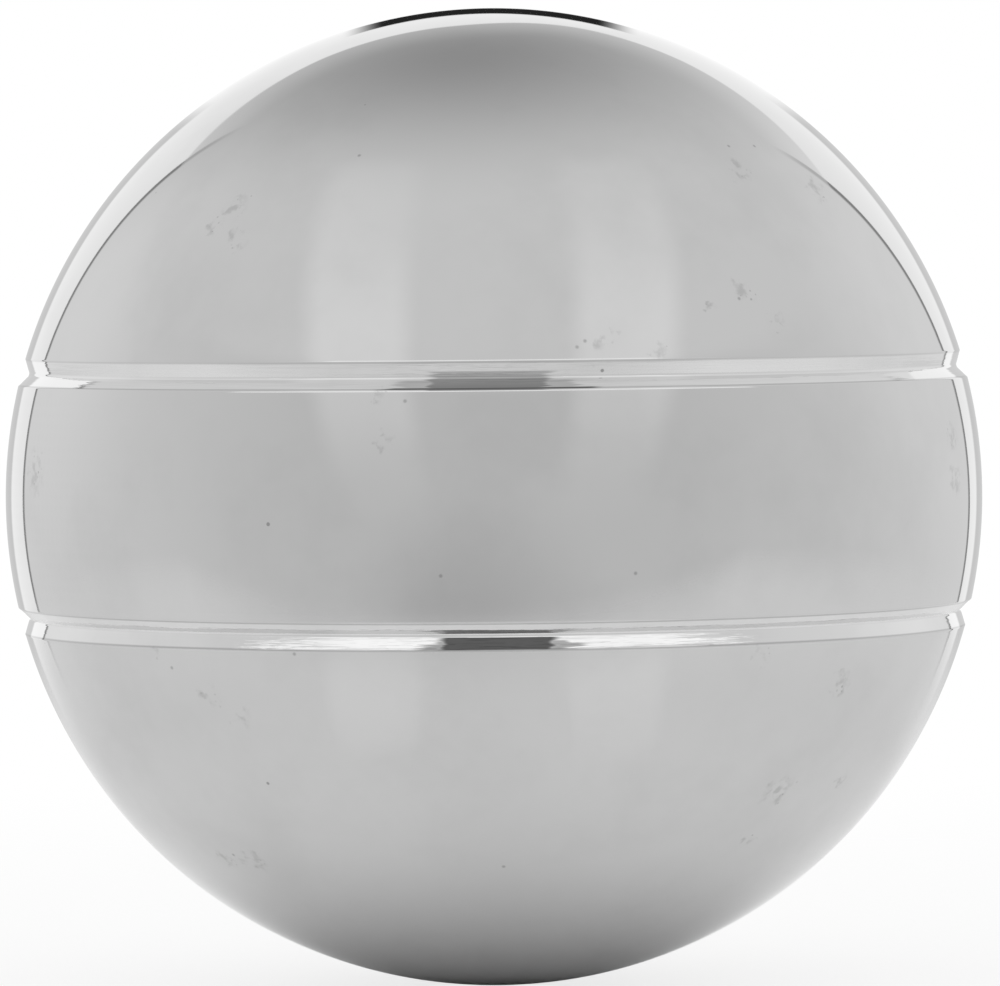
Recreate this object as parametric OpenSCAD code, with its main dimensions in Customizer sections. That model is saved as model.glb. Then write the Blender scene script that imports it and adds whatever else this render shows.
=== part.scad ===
// Petanque ball: a hollow steel sphere with two turned grooves, chromed all over.
//
// Two cup-shaped steel shells are welded rim to rim on the middle plane. The ball is then turned
// round outside, so the weld shows only inside the cavity, as a low ring. The grooves are cut with
// a pointed tool, so each has two straight flanks. The ball's centre is the origin, and the
// grooves run round the Z axis.

/* [Ball] */
// Outside diameter of the finished ball
ball_d = 73; // [70.5:0.5:80]
// Thickness of the steel wall
wall_t = 6.4; // [4.5:0.1:9]

/* [Grooves] */
// Distance along the axis between the middles of the two grooves
groove_spacing = 18.5; // [8:0.5:36]
// How far the pair of grooves sits above the ball's middle plane
groove_rise = 0.4; // [-2:0.1:2]
// Depth of each groove below the ball's surface
groove_depth = 0.57; // [0.4:0.01:1]
// How far a groove's flanks lean away from the ball's surface, in degrees
flank_angle = 30.3; // [20:0.1:45]
// Radius of the round bottom of each groove
groove_r = 0.25; // [0.1:0.05:0.35]
// Radius of the shoulders that blend each flank into the ball
shoulder_r = 0.25; // [0.1:0.05:0.5]

/* [Weld] */
// How far the weld's root stands into the cavity
root_h = 0.8; // [0.3:0.1:2]
// Radius of the weld root's rounded top
root_r = 2.5; // [1:0.5:5]

/* [Hidden] */

ball_r = ball_d / 2;
cavity_r = ball_r - wall_t;

// Distances from the ball's centre to the centres of a groove's round bottom, which lies before
// the metal, and of its two shoulders, which lie in the metal
bottom_centre = ball_r - groove_depth + groove_r;
shoulder_centre = ball_r - shoulder_r;

// Angle at the ball's centre between a groove's middle and a shoulder's centre. The flank's line
// touches the bottom on one side and the shoulder on the other, and that fixes the angle.
shoulder_angle =
    acos((bottom_centre * cos(flank_angle) - groove_r - shoulder_r) / shoulder_centre)
    - flank_angle;

// Angle that a shoulder's arc turns through, from the flank to the ball's surface
shoulder_turn = flank_angle + shoulder_angle;

// Length of a flank's straight part, from the end of the bottom to the start of the shoulder
flank_l = shoulder_centre * sin(shoulder_turn) - bottom_centre * sin(flank_angle);

// Arcs that touch a line or the ball are made to cross it by this much, so that no sliver is left
overlap = 0.00005;
// Facets of a displayed circle
$fn = 180;

// Angle above the middle plane at which the middle of the upper groove, side 1, or of the lower
// one, side -1, meets the ball's surface
function groove_angle(side) = asin((groove_rise + side * groove_spacing / 2) / ball_r);

// The right-hand half of what is drawn, for a revolve
module half_section() {
    intersection() {
        translate([0, -ball_d]) square([ball_d, 2 * ball_d]);
        children();
    }
}

// Space that turning takes away before a groove's upper flank and round its shoulder. The groove's
// middle is on the X axis. The flank is drawn upright, on the left, and leaned over.
module flank_space() {
    rotate(-flank_angle) {
        translate([-groove_r, 0]) square([groove_depth, flank_l + shoulder_r]);
        translate([-groove_r - shoulder_r, flank_l]) difference() {
            polygon([
                [0, 0],
                [2 * shoulder_r, 0],
                2 * shoulder_r * [cos(shoulder_turn), sin(shoulder_turn)]
            ]);
            circle(r = shoulder_r + overlap);
        }
    }
}

// Section of the metal that turning a groove takes away, with the groove's middle on the X axis
module groove_section() {
    translate([bottom_centre, 0]) {
        circle(r = groove_r + overlap);
        flank_space();
        mirror([0, 1]) flank_space();
    }
}

// The ball's outside, turned from pole to pole
module turned_outside() {
    rotate_extrude() difference() {
        half_section() circle(r = ball_r);
        for (side = [-1, 1])
            rotate(groove_angle(side)) groove_section();
    }
}

// The space inside the two shells, narrowed at the middle plane by the weld's root
module cavity() {
    rotate_extrude() difference() {
        half_section() circle(r = cavity_r);
        translate([cavity_r - root_h + root_r, 0]) circle(r = root_r);
    }
}

module ball() {
    color("silver") difference() {
        turned_outside();
        cavity();
    }
}

ball();
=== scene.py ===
import math

import bmesh
import bpy
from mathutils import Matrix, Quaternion, Vector


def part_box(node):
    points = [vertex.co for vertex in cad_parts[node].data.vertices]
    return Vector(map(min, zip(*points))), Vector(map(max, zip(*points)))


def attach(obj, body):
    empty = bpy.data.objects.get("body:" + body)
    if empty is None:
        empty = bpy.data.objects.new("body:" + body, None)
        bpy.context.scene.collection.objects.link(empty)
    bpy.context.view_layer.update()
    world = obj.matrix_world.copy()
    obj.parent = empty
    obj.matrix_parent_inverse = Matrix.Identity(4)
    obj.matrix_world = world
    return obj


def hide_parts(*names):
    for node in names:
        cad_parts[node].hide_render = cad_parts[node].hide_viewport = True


bl_info = {
    "name": "Petanque Ball",
    "version": (1, 0, 0),
    "blender": (4, 5, 0),
    "location": "3D View > Sidebar > Petanque Ball",
    "description": "Turns, grooves and chromes a petanque ball, and sets it in a white studio",
    "category": "Object",
}

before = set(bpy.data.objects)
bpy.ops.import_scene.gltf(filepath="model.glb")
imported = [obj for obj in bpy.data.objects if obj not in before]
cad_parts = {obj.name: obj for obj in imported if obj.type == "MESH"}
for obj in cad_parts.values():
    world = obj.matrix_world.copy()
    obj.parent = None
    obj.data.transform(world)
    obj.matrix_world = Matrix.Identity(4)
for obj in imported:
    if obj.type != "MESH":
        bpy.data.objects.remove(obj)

CAD_LOW, CAD_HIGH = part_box("ball")
CENTRE = (CAD_LOW + CAD_HIGH) / 2
MM = 0.001

# Steps of the turned outline, on each of its stretches.
CAP_STEPS = 56
BAND_STEPS = 18
SHOULDER_STEPS = 14
FLANK_STEPS = 12
BOTTOM_STEPS = 16
# Where a cap or the band meets a groove, its last stretch has shorter steps, for smooth shading.
LEAD_IN = math.radians(1)
LEAD_IN_STEPS = 6


# ---------------------------------------------------------------- sizes and colours


class BallSizes(bpy.types.PropertyGroup):
    """Sizes of the turned ball."""

    diameter: bpy.props.FloatProperty(
        name="Diameter", description="Outside diameter of the ball",
        default=CAD_HIGH.z - CAD_LOW.z, unit="LENGTH",
    )
    groove_spacing: bpy.props.FloatProperty(
        name="Groove Spacing", description="Distance between the two grooves' middles",
        default=18.5 * MM, unit="LENGTH",
    )
    groove_rise: bpy.props.FloatProperty(
        name="Groove Rise", description="How far the pair of grooves sits above the ball's middle",
        default=0.4 * MM, unit="LENGTH",
    )
    groove_depth: bpy.props.FloatProperty(
        name="Groove Depth", description="Depth of a groove below the ball's surface",
        default=0.57 * MM, unit="LENGTH",
    )
    flank_angle: bpy.props.FloatProperty(
        name="Flank Angle", description="How far a groove's flanks lean from the ball's surface",
        default=math.radians(30.3), subtype="ANGLE",
    )
    flank_crown: bpy.props.FloatProperty(
        name="Flank Crown", description="How far polishing leaves a flank's middle standing above its ends",
        default=0.006 * MM, unit="LENGTH",
    )
    groove_radius: bpy.props.FloatProperty(
        name="Groove Radius", description="Radius of a groove's round bottom",
        default=0.25 * MM, unit="LENGTH",
    )
    shoulder_radius: bpy.props.FloatProperty(
        name="Shoulder Radius", description="Radius of the polished edge on each side of a groove",
        default=0.25 * MM, unit="LENGTH",
    )
    turns: bpy.props.IntProperty(
        name="Facets Round", description="Facets round the ball's axis",
        default=288, min=48,
    )


class ChromeFinish(bpy.types.PropertyGroup):
    """The look of the polished chrome plate."""

    chrome: bpy.props.FloatVectorProperty(
        name="Chrome", description="Colour that the chrome gives to what it mirrors",
        default=(0.65, 0.65, 0.65), subtype="COLOR", min=0, max=1,
    )
    # Painted sheen: the grooves' chrome is brighter so that their reflections look brighter.
    groove_sheen: bpy.props.FloatVectorProperty(
        name="Groove Chrome", description="Colour of the brighter, unworn chrome in the grooves",
        default=(0.77, 0.77, 0.77), subtype="COLOR", min=0, max=1,
    )
    # The dull colour also paints the dark shade lines along the grooves' edges.
    dull: bpy.props.FloatVectorProperty(
        name="Dull Marks", description="Colour of the chrome inside pits and dull marks",
        default=(0.34, 0.34, 0.34), subtype="COLOR", min=0, max=1,
    )
    # Painted reflection: the near-black colour of the dark reflection painted at the front of both grooves.
    dark_reflection: bpy.props.FloatVectorProperty(
        name="Painted Reflection", description="Colour of the polish residue left at the front of both grooves",
        default=(0.06, 0.06, 0.06), subtype="COLOR", min=0, max=1,
    )
    polish: bpy.props.FloatProperty(
        name="Polish Roughness", description="Roughness of the clean mirror polish",
        default=0.03, min=0, max=1, subtype="FACTOR",
    )
    haze: bpy.props.FloatProperty(
        name="Haze", description="Roughness that faint polishing haze adds in places",
        default=0.03, min=0, max=1, subtype="FACTOR",
    )
    ripple: bpy.props.FloatProperty(
        name="Groove Ripple", description="Height of the ripples that hand polishing leaves in the grooves",
        default=0.012 * MM, unit="LENGTH",
    )


class StudioSettings(bpy.types.PropertyGroup):
    """The camera, the floor and the soft light round the ball."""

    distance: bpy.props.FloatProperty(
        name="Camera Distance", description="From the camera to the middle of the ball",
        default=0.639, unit="LENGTH",
    )
    height_angle: bpy.props.FloatProperty(
        name="Camera Elevation", description="How far the camera looks down on the ball",
        default=math.radians(1.8), subtype="ANGLE",
    )
    roll: bpy.props.FloatProperty(
        name="Camera Roll", description="How far the camera leans to one side",
        default=math.radians(0.57), subtype="ANGLE",
    )
    aim: bpy.props.FloatVectorProperty(
        name="Aim", description="What the camera points at, measured from the middle of the ball",
        default=(0.45 * MM, 0, 0.235 * MM), subtype="XYZ",
    )
    lens: bpy.props.FloatProperty(
        name="Lens", description="Focal length on a sensor 36 mm wide, in millimetres",
        default=307.7,
    )
    floor_colour: bpy.props.FloatVectorProperty(
        name="Floor", description="Colour of the pale floor",
        default=(0.95, 0.95, 0.95), subtype="COLOR", min=0, max=1,
    )
    floor_inner: bpy.props.FloatProperty(
        name="Floor Fade Start", description="Distance from the ball where the floor starts to fade",
        default=0.08, unit="LENGTH",
    )
    floor_outer: bpy.props.FloatProperty(
        name="Floor Edge", description="Radius of the floor",
        default=0.25, unit="LENGTH",
    )
    floor_front: bpy.props.FloatProperty(
        name="Floor Front Edge", description="Distance from the ball to the paper's front edge",
        default=0.078, unit="LENGTH",
    )
    floor_edge: bpy.props.FloatProperty(
        name="Floor Edge Softness", description="Width over which the front edge fades",
        default=0.03, unit="LENGTH",
    )
    floor_turn: bpy.props.FloatProperty(
        name="Floor Turn", description="How far the paper's front edge is turned from square",
        default=math.radians(-8), subtype="ANGLE",
    )
    soft_light: bpy.props.FloatProperty(
        name="Soft Light", description="Strength of the even light that falls on the floor",
        default=0.935, min=0,
    )


# ---------------------------------------------------------------- mesh helpers


def new_piece(name, mesh_builder, *sizes):
    """Makes an object from a function that fills a bmesh, and links it to the scene."""
    shape = bmesh.new()
    mesh_builder(shape, *sizes)
    mesh = bpy.data.meshes.new(name)
    shape.to_mesh(mesh)
    shape.free()
    piece = bpy.data.objects.new(name, mesh)
    bpy.context.scene.collection.objects.link(piece)
    return piece


def sweep(shape, tip, centre, angle, steps):
    """Spins the outline's last vertex round a centre, clockwise as seen from the front.

    Returns the new last vertex.
    """
    turned = bmesh.ops.spin(
        shape, geom=[tip], cent=centre, axis=(0, 1, 0), dvec=(0, 0, 0),
        angle=angle, steps=steps, use_merge=False, use_duplicate=False,
    )
    return next(part for part in turned["geom_last"] if isinstance(part, bmesh.types.BMVert))


def on_radius(distance, angle):
    """A point of the outline at a distance from the ball's centre and an angle above its middle."""
    return Vector((distance * math.cos(angle), 0, distance * math.sin(angle)))


def flank(shape, tip, run, crown):
    """Draws the outline's last vertex along a run with a slight crown, and returns the new last vertex.

    The steps are shorter at both ends, for smooth shading.
    """
    start = tip.co.copy()
    outward = Vector((-run.z, 0, run.x)).normalized() * crown
    for step in range(FLANK_STEPS):
        share = (1 - math.cos(math.pi * (step + 1) / FLANK_STEPS)) / 2
        drawn = bmesh.ops.extrude_vert_indiv(shape, verts=[tip])
        tip = drawn["verts"][0]
        reached = start + run * share + outward * 4 * share * (1 - share)
        bmesh.ops.translate(shape, verts=[tip], vec=reached - tip.co)
    return tip


def turned_groove(shape, tip, sizes, angle):
    """Cuts a groove at an angle above the middle: a shoulder, a flank, the round bottom, and back up."""
    radius = sizes.diameter / 2
    bottom = radius - sizes.groove_depth + sizes.groove_radius
    shoulder = radius - sizes.shoulder_radius
    mouth = half_mouth(sizes)
    lean = sizes.flank_angle
    turn = mouth + lean
    # The length of a flank, between the shoulder's end and the bottom's start.
    length = shoulder * math.sin(turn) - bottom * math.sin(lean)
    upper_run = on_radius(length, angle - lean - math.pi / 2)
    lower_run = on_radius(length, angle + lean - math.pi / 2)
    tip = sweep(shape, tip, on_radius(shoulder, angle + mouth), turn, SHOULDER_STEPS)
    tip = flank(shape, tip, upper_run, sizes.flank_crown)
    tip = sweep(shape, tip, on_radius(bottom, angle), -2 * lean, BOTTOM_STEPS)
    tip = flank(shape, tip, lower_run, sizes.flank_crown)
    return sweep(shape, tip, on_radius(shoulder, angle - mouth), turn, SHOULDER_STEPS)


def half_mouth(sizes):
    """The angle at the ball's centre from a groove's middle to the edge of its mouth."""
    radius = sizes.diameter / 2
    bottom = radius - sizes.groove_depth + sizes.groove_radius
    flank_level = bottom * math.cos(sizes.flank_angle) - sizes.groove_radius
    shoulder = radius - sizes.shoulder_radius
    return math.acos((flank_level - sizes.shoulder_radius) / shoulder) - sizes.flank_angle


def turned_outline(shape, sizes):
    """The ball's outline from pole to pole, as the lathe cuts it: cap, groove, band, groove, cap."""
    radius = sizes.diameter / 2
    middle = Vector((0, 0, 0))
    mouth = half_mouth(sizes)
    upper = math.asin((sizes.groove_rise + sizes.groove_spacing / 2) / radius)
    lower = math.asin((sizes.groove_rise - sizes.groove_spacing / 2) / radius)

    tip = shape.verts.new((0, 0, radius))
    tip = sweep(shape, tip, middle, math.pi / 2 - upper - mouth - LEAD_IN, CAP_STEPS)
    tip = sweep(shape, tip, middle, LEAD_IN, LEAD_IN_STEPS)
    tip = turned_groove(shape, tip, sizes, upper)
    tip = sweep(shape, tip, middle, LEAD_IN, LEAD_IN_STEPS)
    tip = sweep(shape, tip, middle, upper - lower - 2 * (mouth + LEAD_IN), BAND_STEPS)
    tip = sweep(shape, tip, middle, LEAD_IN, LEAD_IN_STEPS)
    tip = turned_groove(shape, tip, sizes, lower)
    tip = sweep(shape, tip, middle, LEAD_IN, LEAD_IN_STEPS)
    sweep(shape, tip, middle, math.pi / 2 + lower - mouth - LEAD_IN, CAP_STEPS)


def turned_ball(shape, sizes):
    """Spins the outline once round the ball's axis and closes it at the poles."""
    turned_outline(shape, sizes)
    bmesh.ops.spin(
        shape, geom=shape.verts[:] + shape.edges[:], cent=(0, 0, 0), axis=(0, 0, 1), dvec=(0, 0, 0),
        angle=math.tau, steps=sizes.turns, use_merge=True, use_duplicate=False,
    )
    bmesh.ops.remove_doubles(shape, verts=shape.verts[:], dist=1e-7)
    bmesh.ops.recalc_face_normals(shape, faces=shape.faces[:])
    for face in shape.faces:
        face.smooth = True
    bmesh.ops.translate(shape, verts=shape.verts[:], vec=CENTRE)


# ---------------------------------------------------------------- node helpers


class Nodes:
    """Adds nodes to one node tree. Values may be numbers or sockets of other nodes."""

    def __init__(self, tree):
        self.tree = tree
        tree.nodes.clear()

    def add(self, kind, inputs=(), **settings):
        """Adds a node, and sets its inputs by name or number and its other settings by name."""
        node = self.tree.nodes.new("ShaderNode" + kind)
        for name, value in settings.items():
            setattr(node, name, value)
        for key, value in dict(inputs).items():
            if isinstance(value, bpy.types.NodeSocket):
                self.tree.links.new(value, node.inputs[key])
            else:
                node.inputs[key].default_value = value
        return node

    def math(self, operation, first, second=0.0):
        return self.add("Math", {0: first, 1: second}, operation=operation).outputs[0]

    def vector(self, operation, *values):
        """The vector that a vector operation gives."""
        return self.add("VectorMath", enumerate(values), operation=operation).outputs["Vector"]

    def measure(self, operation, *values):
        """The number that a vector operation gives, such as a length, a distance or a dot product."""
        return self.add("VectorMath", enumerate(values), operation=operation).outputs["Value"]

    def split(self, vector):
        """The outputs X, Y and Z of a vector."""
        return self.add("SeparateXYZ", {0: vector}).outputs

    def angle(self, vector, direction):
        """The angle between a unit vector and a fixed direction."""
        return self.math("ARCCOSINE", self.measure("DOT_PRODUCT", vector, direction))

    def azimuth(self, vector):
        """How far a vector is turned from the ball's front, towards +X."""
        parts = self.split(vector)
        return self.math("ARCTAN2", parts["X"], self.math("MULTIPLY", parts["Y"], -1.0))

    def ease(self, value, start, end, low=0.0, high=1.0):
        """Goes smoothly from low at start to high at end."""
        settings = {"Value": value, "From Min": start, "From Max": end, "To Min": low, "To Max": high}
        return self.add("MapRange", settings, interpolation_type="SMOOTHSTEP").outputs["Result"]

    def between(self, value, low_out, low_in, high_in, high_out):
        """1 from low_in to high_in, easing to 0 at low_out and at high_out."""
        return self.product(self.ease(value, low_out, low_in), self.ease(value, high_out, high_in))

    def product(self, *values):
        total = values[0]
        for value in values[1:]:
            total = self.math("MULTIPLY", total, value)
        return total

    def sum(self, *values):
        total = values[0]
        for value in values[1:]:
            total = self.math("ADD", total, value)
        return total

    def most(self, *values):
        total = values[0]
        for value in values[1:]:
            total = self.math("MAXIMUM", total, value)
        return total

    def least(self, *values):
        total = values[0]
        for value in values[1:]:
            total = self.math("MINIMUM", total, value)
        return total

    def noise(self, place, scale, detail, roughness=0.5):
        """The outputs Fac and Color of a noise texture."""
        settings = {"Vector": place, "Scale": scale, "Detail": detail, "Roughness": roughness}
        return self.add("TexNoise", settings).outputs

    def tint(self, amount, first, second):
        """The first colour where amount is 0, and the second, which is an RGB value, where it is 1."""
        if not isinstance(first, bpy.types.NodeSocket):
            first = (*first, 1)
        node = self.add("Mix", {0: amount, 6: first, 7: (*second, 1)}, data_type="RGBA")
        return node.outputs[2]

    def blend(self, amount, first, second):
        """The first number where amount is 0, and the second where it is 1."""
        node = self.add("Mix", {"Factor": amount, "A": first, "B": second}, data_type="FLOAT")
        return node.outputs["Result"]

    def surface(self, amount, first, second):
        """The first shader where amount is 0, and the second where it is 1."""
        return self.add("MixShader", {0: amount, 1: first, 2: second}).outputs["Shader"]


def radians(*degrees):
    return [math.radians(degree) for degree in degrees]


# ---------------------------------------------------------------- chrome


def direction(azimuth, elevation):
    """A unit vector. Azimuth 0 is the ball's front and 90 is +X; both angles are in degrees."""
    turn, rise = radians(azimuth, elevation)
    return Vector((
        math.sin(turn) * math.cos(rise),
        -math.cos(turn) * math.cos(rise),
        math.sin(rise),
    ))


# Dull marks: azimuth and height above the ball's middle in degrees, and radius in millimetres.
MARKS = (
    (-39, 37, 0.9), (-41, 34, 0.7), (-36, 32, 0.8), (-13, 13, 0.5), (13, 18, 0.6), (15, 20, 0.4),
    (20, 18, 0.6), (37, 21, 0.5), (41, 41, 0.8), (56, 38, 0.9), (33, 25, 0.8), (28, 23, 0.4),
    (-37, -21, 0.7), (-43, -45, 1.0), (-50, -45, 0.8), (43, -35, 1.2), (56, -34, 0.6), (47, -21, 0.9),
    (-67, 4, 1.3), (68, 2, 1.1), (68, 7, 0.8), (-44, -16, 0.5), (-33, -24, 0.6), (33, -17, 0.6),
    (-12, 8, 0.6), (42, -42, 0.6),
)
# Single specks: azimuth and height, as for the marks.
SPECKS = (
    (-21, 44), (-10, 12.5), (10, 18.5), (11, 19.2), (42, 45), (48, 45), (32, 24), (-42, -18), (-24, -16),
    (-47, -44), (-6, -7), (16, -7), (1, -45),
)
# Radius of a single speck, in millimetres.
SPECK_RADIUS = 0.2
# Dark reflections painted at the front of the grooves: azimuth of the middle, half width and frayed length
# in degrees, low and high edge in millimetres, and strength.
PAINTED_REFLECTIONS = (
    (-0.8, 10, 11, 8.65, 9.3, 0.3),
    (-0.8, 13, 10, 8.68, 8.8, 0.85),
    (0.15, 6.7, 3, -9.76, -8.88, 0.96),
    (0.4, 9.3, 12, -9.76, -9.15, 0.6),
)
# Polishing streaks to a metre along each axis: they are long round the ball and fine along its axis.
STREAKS = (160, 160, 4000)


def chrome_material(finish, sizes):
    """Polished chrome with a faint haze, ripples in the grooves, small pits and a few dull marks, with a
    brighter sheen, dark edge lines and dark reflections painted into the grooves.
    """
    material = bpy.data.materials.new("polished_chrome")
    material.use_nodes = True
    nodes = Nodes(material.node_tree)
    place = nodes.add("TexCoord").outputs["Object"]
    height = nodes.split(place)["Z"]
    depth = nodes.math("SUBTRACT", sizes.diameter / 2, nodes.measure("LENGTH", place))
    in_groove = nodes.ease(depth, 0.02 * MM, 0.08 * MM)
    streaks = nodes.noise(nodes.vector("MULTIPLY", place, STREAKS), 1.0, 3.0)["Fac"]
    cloud = nodes.noise(place, 90.0, 4.0, 0.6)["Fac"]
    dull = nodes.most(dull_marks(nodes, place), pits(nodes, place))

    # The grooves get brighter chrome, a painted sheen that brightens their reflections.
    colour = nodes.tint(in_groove, finish.chrome, finish.groove_sheen)
    colour = nodes.tint(nodes.ease(cloud, 0.4, 0.75, 0.0, 0.12), colour, finish.dull)
    # Painted shade: dark lines along the grooves' edges stand in for their dark reflections.
    colour = nodes.tint(painted_edge_shade(nodes, depth, height), colour, finish.dull)
    # Painted reflection: the dark reflection at the front of both grooves.
    colour = nodes.tint(painted_groove_reflection(nodes, place, height, streaks), colour, finish.dark_reflection)
    colour = nodes.tint(nodes.product(dull, 0.9), colour, finish.dull)

    roughness = nodes.ease(cloud, 0.45, 0.75, finish.polish, finish.polish + finish.haze)
    roughness = nodes.sum(roughness, nodes.product(dull, 0.15))
    ripples = nodes.product(nodes.math("SUBTRACT", streaks, 0.5), in_groove)
    bump = nodes.add("Bump", {"Height": ripples, "Distance": finish.ripple, "Strength": 1.0})
    shader = nodes.add("BsdfPrincipled", {
        "Base Color": colour, "Metallic": 1.0, "Roughness": roughness, "Normal": bump.outputs["Normal"],
    })
    output = nodes.add("OutputMaterial", {"Surface": shader.outputs["BSDF"]})
    output.is_active_output = True
    return material


def painted_edge_shade(nodes, depth, height):
    """Painted shade: a dark line along the grooves' edges that stands in for their dark reflection, fainter
    along the uppermost one.
    """
    line = nodes.between(depth, 0.008 * MM, 0.025 * MM, 0.05 * MM, 0.1 * MM)
    return nodes.product(line, nodes.ease(height, 10.25 * MM, 10.1 * MM, 0.35, 1.0), 0.5)


def painted_streak(nodes, azimuth, height, streaks, middle, half_width, fray, low, high):
    """1 on a dark reflection streak painted in a groove, which frays out at its two ends.

    The sizes from middle on are in degrees and millimetres, as in the list of painted reflections.
    """
    reach = nodes.math("ABSOLUTE", nodes.math("SUBTRACT", azimuth, math.radians(middle)))
    frayed = nodes.sum(reach, nodes.product(nodes.math("SUBTRACT", streaks, 0.5), math.radians(fray)))
    # How far the blurred ends and edges reach to either side, in degrees and in millimetres.
    end_blur, edge_blur = 0.8, 0.03
    ends = nodes.ease(frayed, *radians(half_width + end_blur, half_width - end_blur))
    lows = (low - edge_blur) * MM, (low + edge_blur) * MM
    highs = (high - edge_blur) * MM, (high + edge_blur) * MM
    return nodes.product(ends, nodes.between(height, *lows, *highs))


def painted_groove_reflection(nodes, place, height, streaks):
    """How much dark reflection is painted at the front of the grooves, darkest along the upper one's
    bottom.
    """
    azimuth = nodes.azimuth(place)
    # The broad painted reflection in the upper groove thins out upwards.
    thinning = nodes.ease(height, 9.95 * MM, 8.8 * MM, 0.36, 0.68)
    dark_reflection = nodes.product(painted_streak(nodes, azimuth, height, streaks, -0.5, 6.9, 6, 8.61, 9.95), thinning)
    for *form, strength in PAINTED_REFLECTIONS:
        shape = painted_streak(nodes, azimuth, height, streaks, *form)
        dark_reflection = nodes.most(dark_reflection, nodes.product(shape, strength))
    return dark_reflection


def speckle(nodes, place, scale, share, size, softness):
    """1 on round specks strewn at random.

    Scale is the number of cells to a metre, and share the part of them that hold a speck. Size is the
    largest speck's radius and softness its edge, both as parts of a cell.
    """
    cells = nodes.add("TexVoronoi", {"Vector": place, "Scale": scale}).outputs
    chosen = nodes.add("SeparateColor", {"Color": cells["Color"]}).outputs["Red"]
    reach = nodes.ease(chosen, 1 - share, 1.0, 0.0, size)
    return nodes.ease(nodes.math("SUBTRACT", cells["Distance"], reach), 0.0, -softness)


def nearest(nodes, place, spots):
    """How far off the nearest spot is, as a number of its own radii."""
    distances = []
    for azimuth, rise, radius in spots:
        centre = direction(azimuth, rise) * (CAD_HIGH.z - CENTRE.z)
        distances.append(nodes.product(nodes.measure("DISTANCE", place, centre), 1 / (radius * MM)))
    return nodes.least(*distances)


def dull_marks(nodes, place):
    """How dull the single specks and the dull marks are. The marks have grain, haze and ragged outlines."""
    grain = speckle(nodes, place, 2800.0, 0.8, 0.42, 0.3)
    patchy = nodes.noise(place, 1300.0, 3.0)
    haze = nodes.ease(patchy["Fac"], 0.42, 0.64, 0.0, 0.45)
    # Moving the place about by the noise makes the outlines ragged.
    shift = nodes.vector("SUBTRACT", patchy["Color"], (0.5, 0.5, 0.5))
    ragged = nodes.vector("MULTIPLY_ADD", shift, (3 * MM, 3 * MM, 3 * MM), place)
    marks = nodes.ease(nearest(nodes, ragged, MARKS), 1.5, 0.4)
    marks = nodes.product(marks, nodes.most(nodes.product(grain, 0.8), haze))
    specks = nearest(nodes, place, [(azimuth, rise, SPECK_RADIUS) for azimuth, rise in SPECKS])
    return nodes.most(marks, nodes.ease(specks, 1.0, 0.2, 0.0, 0.8))


def pits(nodes, place):
    """1 on small pits that lie far apart all over the ball."""
    return speckle(nodes, place, 250.0, 0.5, 0.045, 0.015)


# ---------------------------------------------------------------- studio


def panel(nodes, ray, corners, softness):
    """1 inside a flat panel seen from the ball and 0 outside.

    The corners run anticlockwise as the ball sees them.
    """
    edges = []
    for first, second in zip(corners, corners[1:] + corners[:1]):
        edge = direction(*first).cross(direction(*second)).normalized()
        edges.append(nodes.ease(nodes.measure("DOT_PRODUCT", ray, edge), -softness, softness))
    return nodes.product(*edges)


def studio_world(studio):
    """Soft light all round, and the room with its screen and lights that shows in the chrome."""
    world = bpy.data.worlds.new("studio")
    bpy.context.scene.world = world
    # The light is even all round, so the world isn't also sampled as a lamp.
    world.cycles.sampling_method = "NONE"
    world.use_nodes = True
    nodes = Nodes(world.node_tree)
    ray = nodes.add("TexCoord").outputs["Generated"]
    parts = nodes.split(ray)
    height = nodes.math("ARCSINE", parts["Z"])
    side = nodes.math("ABSOLUTE", parts["X"])
    mirrored = nodes.add("CombineXYZ", {"X": side, "Y": parts["Y"], "Z": parts["Z"]}).outputs["Vector"]

    tone = room_tone(nodes, ray, mirrored, parts, height)
    tone = add_light_panels(nodes, tone, mirrored, height)
    tone = add_strip_lights(nodes, tone, ray, studio)
    tone = add_screen(nodes, tone, ray, studio)
    tone = add_cards(nodes, tone, ray, studio)

    # The room shows only in the chrome. The camera sees plain white, and the floor has plain light.
    path = nodes.add("LightPath").outputs
    seen = nodes.most(path["Is Camera Ray"], path["Is Transmission Ray"])
    surface = white_light(nodes, tone)
    surface = nodes.surface(seen, surface, white_light(nodes, 1.0))
    surface = nodes.surface(path["Is Diffuse Ray"], surface, white_light(nodes, studio.soft_light))
    nodes.add("OutputWorld", {"Surface": surface})


def white_light(nodes, strength):
    """A white background shader of one strength."""
    return nodes.add("Background", {"Color": (1, 1, 1, 1), "Strength": strength}).outputs["Background"]


def room_tone(nodes, ray, mirrored, parts, height):
    """The pale room, with a darker gap high behind the screen and a darker side where the camera stands."""
    # The gap is a little narrower across than it is high.
    from_gap = nodes.angle(ray, direction(184, 51))
    across_gap = nodes.math("ARCSINE", nodes.measure("DOT_PRODUCT", ray, direction(94, 0)))
    apart = nodes.sum(nodes.product(from_gap, from_gap), nodes.product(across_gap, across_gap))
    tone = nodes.ease(nodes.math("SQRT", apart), 0.0, math.radians(58), 0.385, 0.82)
    beside = nodes.angle(mirrored, direction(128, 16))
    tone = nodes.sum(tone, nodes.ease(beside, math.radians(38), 0.0, 0.0, 0.1))
    front = nodes.ease(parts["Y"], 0.35, -0.9)
    below = nodes.ease(height, *radians(32, 25))
    tone = nodes.math("SUBTRACT", tone, nodes.product(front, below, 0.12))
    table_shadow = nodes.angle(ray, direction(-5, -26))
    return nodes.math("SUBTRACT", tone, nodes.ease(table_shadow, math.radians(35), 0.0, 0.0, 0.14))


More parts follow.
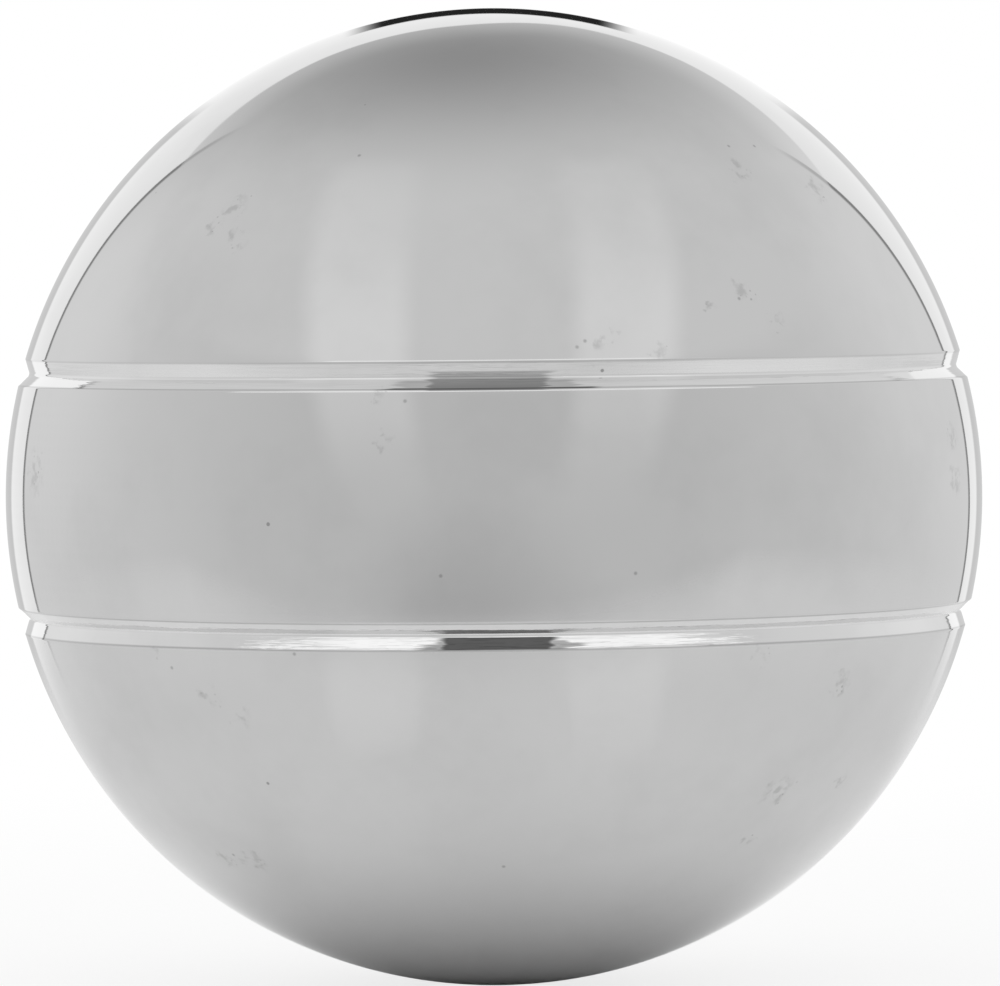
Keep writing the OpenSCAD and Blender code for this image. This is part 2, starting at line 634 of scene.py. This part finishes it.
def add_light_panels(nodes, tone, mirrored, height):
    """Two soft light panels, one on each side of the camera."""
    lights = panel(nodes, mirrored, [(15, -2), (33, -2), (104, 65), (78, 78)], 0.06)
    upper_fade = nodes.ease(height, *radians(75, 35), 0.04, 0.13)
    lower_fade = nodes.ease(height, 0.0, math.radians(28), 0.1, 1.0)
    return nodes.sum(tone, nodes.product(lights, upper_fade, lower_fade))


def add_strip_lights(nodes, tone, ray, studio):
    """A slim arc of white light above the camera, and a faint one below it.

    They are placed by the direction of a polished face that would mirror them to the camera. Only the
    grooves' flanks lean that way, so the arcs light the grooves and stay off the round of the ball.
    """
    camera = (0, -math.cos(studio.height_angle), math.sin(studio.height_angle))
    facing = nodes.vector("NORMALIZE", nodes.vector("ADD", ray, camera))
    rise = nodes.math("ARCSINE", nodes.split(facing)["Z"])
    turn = nodes.math("ABSOLUTE", nodes.azimuth(facing))

    arc = nodes.between(rise, *radians(14.05, 14.2, 17.25, 17.4))
    # The upper arc narrows to a point at both ends.
    point = nodes.math("SUBTRACT", math.radians(21.75), nodes.product(turn, 0.229))
    tapered = nodes.ease(nodes.math("SUBTRACT", point, rise), *radians(-0.1, 0.1))
    tone = nodes.blend(nodes.product(arc, tapered), tone, 1.2)
    low_arc = nodes.between(rise, *radians(-16.1, -15.9, -13.1, -12.9))
    return nodes.blend(low_arc, tone, 0.76)


def screen_plane(nodes, ray, studio):
    """Where a ray meets the screen's plane, across and up from its middle, and 1 if the plane is ahead.

    The middle is straight behind the ball as the camera looks, and the plane is one unit from the ball.
    """
    forward = (0, math.cos(studio.height_angle), -math.sin(studio.height_angle))
    up = (0, math.sin(studio.height_angle), math.cos(studio.height_angle))
    ahead = nodes.measure("DOT_PRODUCT", ray, forward)
    across = nodes.math("DIVIDE", nodes.measure("DOT_PRODUCT", ray, (1, 0, 0)), ahead)
    rise = nodes.math("DIVIDE", nodes.measure("DOT_PRODUCT", ray, up), ahead)
    return across, rise, nodes.ease(ahead, 0.0, 0.1)


def add_screen(nodes, tone, ray, studio):
    """The white screen behind the ball, with a dark frame down its two sides."""
    across, rise, behind = screen_plane(nodes, ray, studio)
    away = nodes.math("ABSOLUTE", across)
    # The top edge stands higher on the left and rises towards both ends.
    ends = nodes.most(nodes.math("SUBTRACT", away, 0.25), 0.0)
    top = nodes.sum(nodes.ease(across, 0.13, -0.05, 0.56, 0.66), nodes.product(ends, 0.22))
    over = nodes.math("SUBTRACT", rise, top)
    under = nodes.ease(over, 0.012, -0.012)
    # The right edge leans outwards.
    right_edge = nodes.sum(nodes.product(rise, 0.2), 0.585)
    side_edge = nodes.ease(across, -0.01, 0.01, 0.69, right_edge)
    past = nodes.math("SUBTRACT", away, side_edge)
    within = nodes.ease(past, -0.01, -0.022)
    # The wall glows a little along the screen's top.
    glow = nodes.ease(over, 0.35, 0.0, 0.0, 0.1)
    tone = nodes.sum(tone, nodes.product(glow, within, behind))
    # The frame is darkest beside the screen and fades above it.
    fading = nodes.ease(over, 0.3, 0.05, 0.0, 0.45)
    beside = nodes.between(past, -0.022, -0.01, 0.008, 0.035)
    tone = nodes.blend(nodes.product(beside, nodes.most(under, fading), behind, 0.8), tone, 0.15)
    return nodes.blend(nodes.product(under, within, behind), tone, 1.08)


def add_cards(nodes, tone, ray, studio):
    """A curved grey card on each side of the screen's middle, and a black card above the middle."""
    rise, behind = screen_plane(nodes, ray, studio)[1:]
    # How far out from the screen's middle, and how much of that is sideways.
    aside = nodes.angle(ray, (0, math.cos(studio.height_angle), -math.sin(studio.height_angle)))
    side = nodes.math("ABSOLUTE", nodes.measure("DOT_PRODUCT", ray, (1, 0, 0)))
    sideways = nodes.math("DIVIDE", side, nodes.math("SINE", aside))
    curved = nodes.product(
        nodes.between(aside, *radians(8.5, 10.5, 20.5, 23)), nodes.ease(sideways, 0.56, 0.66)
    )
    tone = nodes.blend(curved, tone, 0.69)
    above = nodes.product(
        nodes.between(rise, 0.17, 0.2, 0.385, 0.41), nodes.ease(sideways, 0.31, 0.22), behind
    )
    return nodes.blend(above, tone, 0.02)


def paper_sheet(shape, half_width, level):
    """A flat square sheet of paper under the ball."""
    bmesh.ops.create_grid(shape, x_segments=1, y_segments=1, size=half_width)
    bmesh.ops.translate(shape, verts=shape.verts[:], vec=(0, 0, level))


def floor_material(studio):
    """Matt pale paper that fades into the light towards its far edges and ends softly at the front."""
    material = bpy.data.materials.new("pale_floor")
    material.use_nodes = True
    nodes = Nodes(material.node_tree)
    place = nodes.add("TexCoord").outputs["Object"]
    away = nodes.measure("LENGTH", nodes.vector("MULTIPLY", place, (1, 1, 0)))
    faded = nodes.ease(away, studio.floor_inner, studio.floor_outer)
    ahead = (math.sin(studio.floor_turn), -math.cos(studio.floor_turn), 0)
    edge = nodes.measure("DOT_PRODUCT", place, ahead)
    ended = nodes.ease(edge, studio.floor_front - studio.floor_edge, studio.floor_front + studio.floor_edge)

    matt = nodes.add("BsdfDiffuse", {"Color": (*studio.floor_colour, 1)}).outputs["BSDF"]
    white = nodes.add("Emission", {"Color": (1, 1, 1, 1), "Strength": 1.0}).outputs["Emission"]
    clear = nodes.add("BsdfTransparent").outputs["BSDF"]
    # The camera sees the paper nearly white, with the ball's shadow left on it.
    path = nodes.add("LightPath").outputs
    seen = nodes.most(path["Is Camera Ray"], path["Is Transmission Ray"])
    looked_at = nodes.surface(nodes.product(seen, 0.8), matt, white)
    in_chrome = nodes.surface(lit_patches(nodes, place, away), matt, white)
    paper = nodes.surface(path["Is Glossy Ray"], looked_at, in_chrome)
    surface = nodes.surface(nodes.most(faded, ended), paper, clear)
    nodes.add("OutputMaterial", {"Surface": surface})
    return material


def lit_patches(nodes, place, away):
    """How much whiter the paper looks in the chrome: in a ring near the ball and two beams at the front."""
    aside = nodes.math("ABSOLUTE", nodes.split(place)["X"])
    ring = nodes.product(
        nodes.between(away, 0.011, 0.031, 0.034, 0.066), nodes.ease(aside, 0.0, 0.014, 0.31, 0.4)
    )
    turn = nodes.math("ABSOLUTE", nodes.azimuth(place))
    beams = nodes.product(
        nodes.between(turn, *radians(11, 17, 30, 37)), nodes.between(away, 0.028, 0.045, 0.07, 0.1), 0.38
    )
    return nodes.most(ring, beams)


def add_camera(studio):
    """The camera at the ball's front, a little above its middle."""
    data = bpy.data.cameras.new("camera")
    data.lens = studio.lens
    data.sensor_width = 36.0
    data.clip_start = 0.01
    data.clip_end = 20.0
    camera = bpy.data.objects.new("camera", data)
    bpy.context.scene.collection.objects.link(camera)
    back = Vector((0, -math.cos(studio.height_angle), math.sin(studio.height_angle)))
    camera.location = CENTRE + Vector(studio.aim) + back * studio.distance
    camera.rotation_mode = "QUATERNION"
    level = (-back).to_track_quat("-Z", "Y")
    camera.rotation_quaternion = level @ Quaternion((0, 0, 1), -studio.roll)
    bpy.context.scene.camera = camera


# ---------------------------------------------------------------- operators


class PETANQUE_OT_turn_ball(bpy.types.Operator):
    """Turn the grooved ball and chrome it"""

    bl_idname = "petanque.turn_ball"
    bl_label = "Turn the Ball"

    def execute(self, context):
        sizes = context.scene.petanque_sizes
        finish = context.scene.petanque_finish
        ball = new_piece("chromed_ball", turned_ball, sizes)
        ball.data.materials.append(chrome_material(finish, sizes))
        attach(ball, "root")
        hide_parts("ball")
        return {"FINISHED"}


class PETANQUE_OT_stage(bpy.types.Operator):
    """Set up the floor, the soft light and the camera"""

    bl_idname = "petanque.stage"
    bl_label = "Set the Stage"

    def execute(self, context):
        studio = context.scene.petanque_studio
        studio_world(studio)
        floor = new_piece("floor", paper_sheet, studio.floor_outer, CAD_LOW.z)
        floor.data.materials.append(floor_material(studio))
        add_camera(studio)
        context.scene.view_settings.view_transform = "Standard"
        return {"FINISHED"}


class PETANQUE_PT_panel(bpy.types.Panel):
    """Buttons that make the ball and its stage"""

    bl_idname = "PETANQUE_PT_panel"
    bl_label = "Petanque Ball"
    bl_space_type = "VIEW_3D"
    bl_region_type = "UI"
    bl_category = "Petanque Ball"

    def draw(self, context):
        for group in ("petanque_sizes", "petanque_finish", "petanque_studio"):
            box = self.layout.box()
            settings = getattr(context.scene, group)
            for name in settings.__annotations__:
                box.prop(settings, name)
        self.layout.operator("petanque.turn_ball")
        self.layout.operator("petanque.stage")


CLASSES = (
    BallSizes,
    ChromeFinish,
    StudioSettings,
    PETANQUE_OT_turn_ball,
    PETANQUE_OT_stage,
    PETANQUE_PT_panel,
)
GROUPS = {"petanque_sizes": BallSizes, "petanque_finish": ChromeFinish, "petanque_studio": StudioSettings}


def register():
    for one in CLASSES:
        bpy.utils.register_class(one)
    for name, group in GROUPS.items():
        setattr(bpy.types.Scene, name, bpy.props.PointerProperty(type=group))


def unregister():
    for name in GROUPS:
        delattr(bpy.types.Scene, name)
    for one in reversed(CLASSES):
        bpy.utils.unregister_class(one)


def main():
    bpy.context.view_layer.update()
    register()
    bpy.ops.petanque.turn_ball()
    bpy.ops.petanque.stage()


if __name__ == "__main__":
    main()
